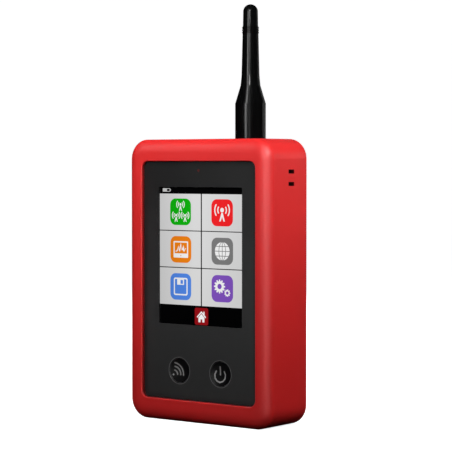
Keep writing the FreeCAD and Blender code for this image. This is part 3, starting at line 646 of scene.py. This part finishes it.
def screen():
    """Tiles, icons and symbols, in thin layers on the front of the touch glass."""
    low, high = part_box("touch_glass")
    cx, cz, y = (low.x + high.x) / 2 / MM, (low.z + high.z) / 2 / MM, low.y / MM
    white = lit("lit_white", (0.92, 0.92, 0.92)).material
    tile = lit("lit_tile", (0.71, 0.71, 0.71)).material
    tiles = [[rectangle(x0, x1, z0, z1)] for x0, x1 in TILE_X for z0, z1 in TILE_Z]
    plate("screen_tiles", placed(tiles, cx, cz, 1), y, LAYER, tile)
    glyphs = []
    for name, ((x, z), colour, glyph) in ICONS.items():
        field = [[rounded(cx + x, cz + z, ICON_HALF, ICON_HALF, ICON_R)]]
        plate(f"icon_{name}", field, y - LAYER, LAYER, lit(f"lit_{name}", colour).material)
        glyphs += placed(glyph(), cx + x, cz + z, ICON_HALF)
    plate("icon_glyphs", glyphs, y - 2 * LAYER, LAYER, white)
    x, z = cx + HOME_AT[0], cz + HOME_AT[1]
    plate("home_field", [[rounded(x, z, HOME_HALF, HOME_HALF, HOME_R)]], y, LAYER,
          lit("lit_home", (0.29, 0.003, 0.006)).material)
    plate("home_glyph", placed(house(), x, z, HOME_HALF), y - LAYER, LAYER, white)
    plate("battery_symbol", placed(battery_symbol(), cx, cz, 1), y, LAYER,
          lit("lit_status", (0.62, 0.62, 0.62)).material)


def battery_symbol():
    (x0, x1), (z0, z1), line = BATTERY_X, BATTERY_Z, BATTERY_LINE
    nub, middle = 0.45, (z0 + z1) / 2
    body = rectangle(x0, x1 - nub, z0, z1)
    empty = rectangle(x0 + (x1 - x0) * 0.52, x1 - nub - line, z0 + line, z1 - line)
    return [[body, empty], [rectangle(x1 - nub + 0.02, x1, middle - 0.35, middle + 0.35)]]


# ---- Buttons --------------------------------------------------------------------------------------
def on_dish(button, x, z, lift):
    """A point on the button's dished face, lift proud of it. x and z are from its centre."""
    low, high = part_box(button)
    sphere = (DISH_R ** 2 + DISH_DEPTH ** 2) / (2 * DISH_DEPTH)
    sink = math.sqrt(sphere ** 2 - x * x - z * z) - (sphere - DISH_DEPTH)
    centre = (low + high) / 2
    return Vector((centre.x + x * MM, low.y + (sink - lift) * MM, centre.z + z * MM))


def strip(bm, button, points, width):
    """A round-ended line along the points, as a closed solid that follows the dished face."""
    lengths = [0.0]
    for a, b in zip(points, points[1:]):
        lengths.append(lengths[-1] + math.dist(a, b))
    total = lengths[-1]
    stations = []
    for i, (x, z) in enumerate(points):
        before, after = points[max(i - 1, 0)], points[min(i + 1, len(points) - 1)]
        along = Vector((after[0] - before[0], after[1] - before[1])).normalized()
        from_end = min(lengths[i], total - lengths[i], width / 2)
        half = max(0.06 * width, math.sqrt(max(0, (width / 2) ** 2 - (width / 2 - from_end) ** 2)))
        side = Vector((-along.y, along.x)) * half
        section = ((-1, -GLYPH_LIFT), (1, -GLYPH_LIFT), (1, GLYPH_LIFT), (-1, GLYPH_LIFT))
        stations.append([bm.verts.new(on_dish(button, x + s * side.x, z + s * side.y, lift))
                         for s, lift in section])
    for a, b in zip(stations, stations[1:]):
        for i in range(4):
            bm.faces.new((a[i], a[(i + 1) % 4], b[(i + 1) % 4], b[i]))
    bm.faces.new(stations[0])
    bm.faces.new(stations[-1][::-1])


def run(x0, z0, x1, z1, width):
    """Points along a straight line, closer together near its round ends."""
    length = math.dist((x0, z0), (x1, z1))
    marks = [width / 2 * (1 - math.cos(math.radians(a))) for a in range(0, 91, 15)]
    middle = [width / 2 + (length - width) * i / 8 for i in range(1, 8)]
    places = marks + middle + [length - m for m in marks[::-1]]
    return [(x0 + (x1 - x0) * p / length, z0 + (z1 - z0) * p / length) for p in places]


def bow(x, z, r, start, end, width):
    """Points along an arc, closer together near its round ends."""
    length = math.radians(abs(end - start)) * r
    return [arc(x, z, r, start + (end - start) * p[0] / length, 0, 1)[0]
            for p in run(0, 0, length, 0, width)]


def button_glyph(button, body, lines, material):
    bm = bmesh.new()
    for points, width in lines:
        strip(bm, button, points, width)
    name = f"{button}_symbol"
    link(name, finish_mesh(name, bm), body, material)


def wireless_lines():
    x, z, w = -4.2, -2.3, GLYPH_STROKE
    lines = [(run(x - 0.45, z, x + 0.45, z, 0.9), 0.9)]
    for r in (2.3, 4.25, 6.1):
        lines.append((bow(x, z, r, -3, 84, w), w))
    return lines


def power_lines():
    w = GLYPH_STROKE
    return [(bow(-0.8, -0.95, 3.25, 130, 410, w), w), (run(-0.8, -0.8, -0.8, 3.9, w), w)]


def buttons():
    grey = ink("symbol_grey", (0.26, 0.26, 0.26)).material
    button_glyph("wireless_button", "wireless_key", wireless_lines(), grey)
    button_glyph("power_button", "power_key", power_lines(), grey)
    # painted highlight: a lighter ring round each button stands in for light caught by the hole's bevel
    ring = ink("ring_painted_highlight", (0.12, 0.12, 0.12)).material
    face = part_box("front_overlay")[0].y / MM
    shapes = []
    for button in ("wireless_button", "power_button"):
        low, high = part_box(button)
        x, z = (low.x + high.x) / 2 / MM, (low.z + high.z) / 2 / MM
        shapes.append([disc(x, z, RING_R + RING_W / 2, 64), disc(x, z, RING_R - RING_W / 2, 64)])
    plate("button_ring_highlights", shapes, face, LAYER, ring)


# ---- Studio ------------------------------------------------------------------------------------------
def camera():
    data = bpy.data.cameras.new("camera")
    data.lens, data.sensor_width = LENS, SENSOR
    obj = bpy.data.objects.new("camera", data)
    obj.location = CAMERA_AT
    obj.rotation_euler = (math.radians(90 - CAMERA_DOWN), 0, math.radians(CAMERA_AZIMUTH))
    bpy.context.scene.collection.objects.link(obj)
    bpy.context.scene.camera = obj


def softbox(name, azimuth, elevation, distance, width, height, aim, spread, power):
    """A soft light that the camera doesn't see, turned towards a point over the origin."""
    data = bpy.data.lights.new(name, "AREA")
    data.shape, data.size, data.size_y = "RECTANGLE", width, height
    data.energy, data.spread = power, math.radians(spread)
    obj = bpy.data.objects.new(name, data)
    a, e = math.radians(azimuth), math.radians(elevation)
    away = Vector((math.sin(a) * math.cos(e), -math.cos(a) * math.cos(e), math.sin(e)))
    obj.location = Vector((0, 0, aim)) + away * distance
    obj.rotation_euler = (-away).to_track_quat("-Z", "Y").to_euler()
    obj.visible_camera = False
    bpy.context.scene.collection.objects.link(obj)
    return obj


def sweep():
    """A white floor that curves up into a wall all round. Only the camera sees it."""
    floor = cad_box[0].z
    profile = [(0.0, floor), (0.3, floor), (1.2, floor)]
    profile += [(SWEEP_R - SWEEP_COVE + u, floor + SWEEP_COVE + v)
                for u, v in arc(0, 0, SWEEP_COVE, -90, 0, 10)]
    profile += [(SWEEP_R, floor + SWEEP_H)]
    bm = bmesh.new()
    line = [bm.verts.new((r, 0, z)) for r, z in profile]
    edges = [bm.edges.new(pair) for pair in zip(line, line[1:])]
    bmesh.ops.spin(bm, geom=line + edges, cent=(0, 0, 0), axis=(0, 0, 1), angle=math.tau, steps=64)
    mesh = finish_mesh("sweep", bm)
    obj = bpy.data.objects.new("sweep", mesh)
    mesh.materials.append(studio_white().material)
    mesh.polygons.foreach_set("use_smooth", [True] * len(mesh.polygons))
    obj.visible_diffuse = obj.visible_glossy = obj.visible_transmission = False
    obj.visible_shadow = False
    bpy.context.scene.collection.objects.link(obj)


def studio():
    camera()
    for name, values in FILLS.items():
        softbox(f"fill_{name}", *values).visible_glossy = False
    for name, values in STRIPS.items():
        softbox(f"strip_{name}", *values).visible_diffuse = False
    sweep()
    world = bpy.data.worlds.new("studio")
    world.use_nodes = True
    world.node_tree.nodes["Background"].inputs["Color"].default_value = (0, 0, 0, 1)
    bpy.context.scene.world = world
    bpy.context.scene.view_settings.view_transform = "Standard"


dress_cad_nodes()
screen()
buttons()
studio()
